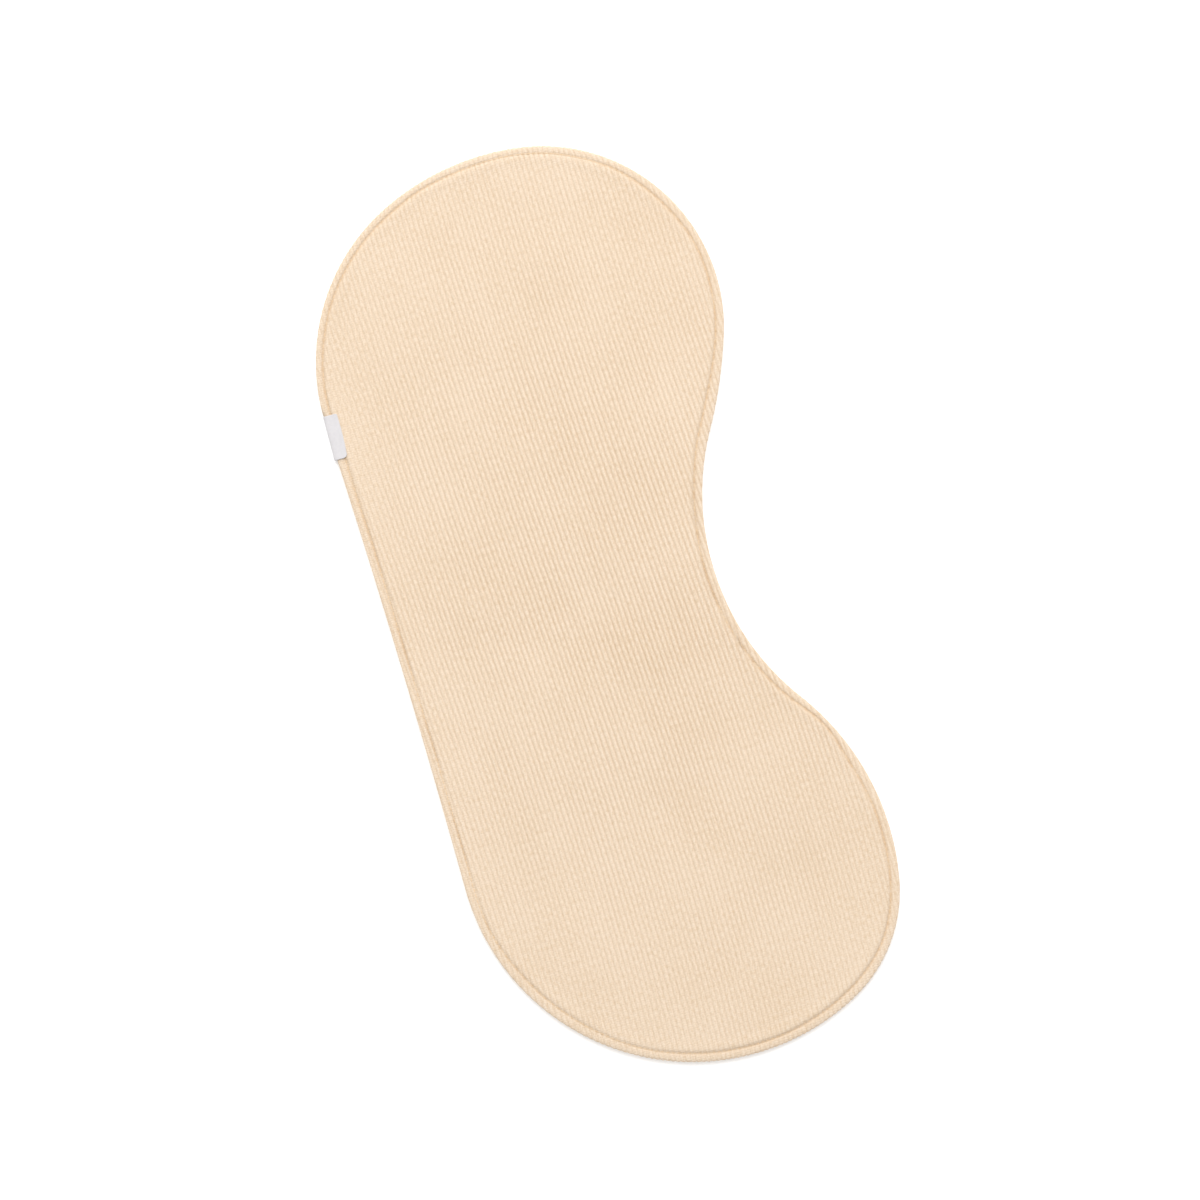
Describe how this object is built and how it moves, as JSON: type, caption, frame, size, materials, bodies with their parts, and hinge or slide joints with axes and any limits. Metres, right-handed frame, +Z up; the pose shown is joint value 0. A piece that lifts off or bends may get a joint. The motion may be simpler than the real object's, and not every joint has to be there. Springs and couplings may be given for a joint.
{
  "type": "burp cloth",
  "caption": "Contoured burp cloth lying flat: ribbed cotton front and back, turned and topstitched at the rim, with a neck hollow on one long side and a small folded label on the other.",
  "frame": {"origin": "on the surface that the cloth lies on, under the middle of the cloth's box", "axes": "+Y along the length, towards the end with the label; +X towards the neck hollow; +Z up, out of the ribbed front"},
  "size_m": [0.2264, 0.4984, 0.0045],
  "materials": {
    "ribbed_cotton_front": "soft ribbed cotton, warm cream, matt",
    "ribbed_cotton_back": "soft ribbed cotton, warm cream, matt",
    "woven_label": "fine white woven tape, slight sheen"
  },
  "bodies": {
    "root": {"front_panel": "ribbed_cotton_front", "back_panel": "ribbed_cotton_back", "label": "woven_label"}
  },
  "joints": []
}
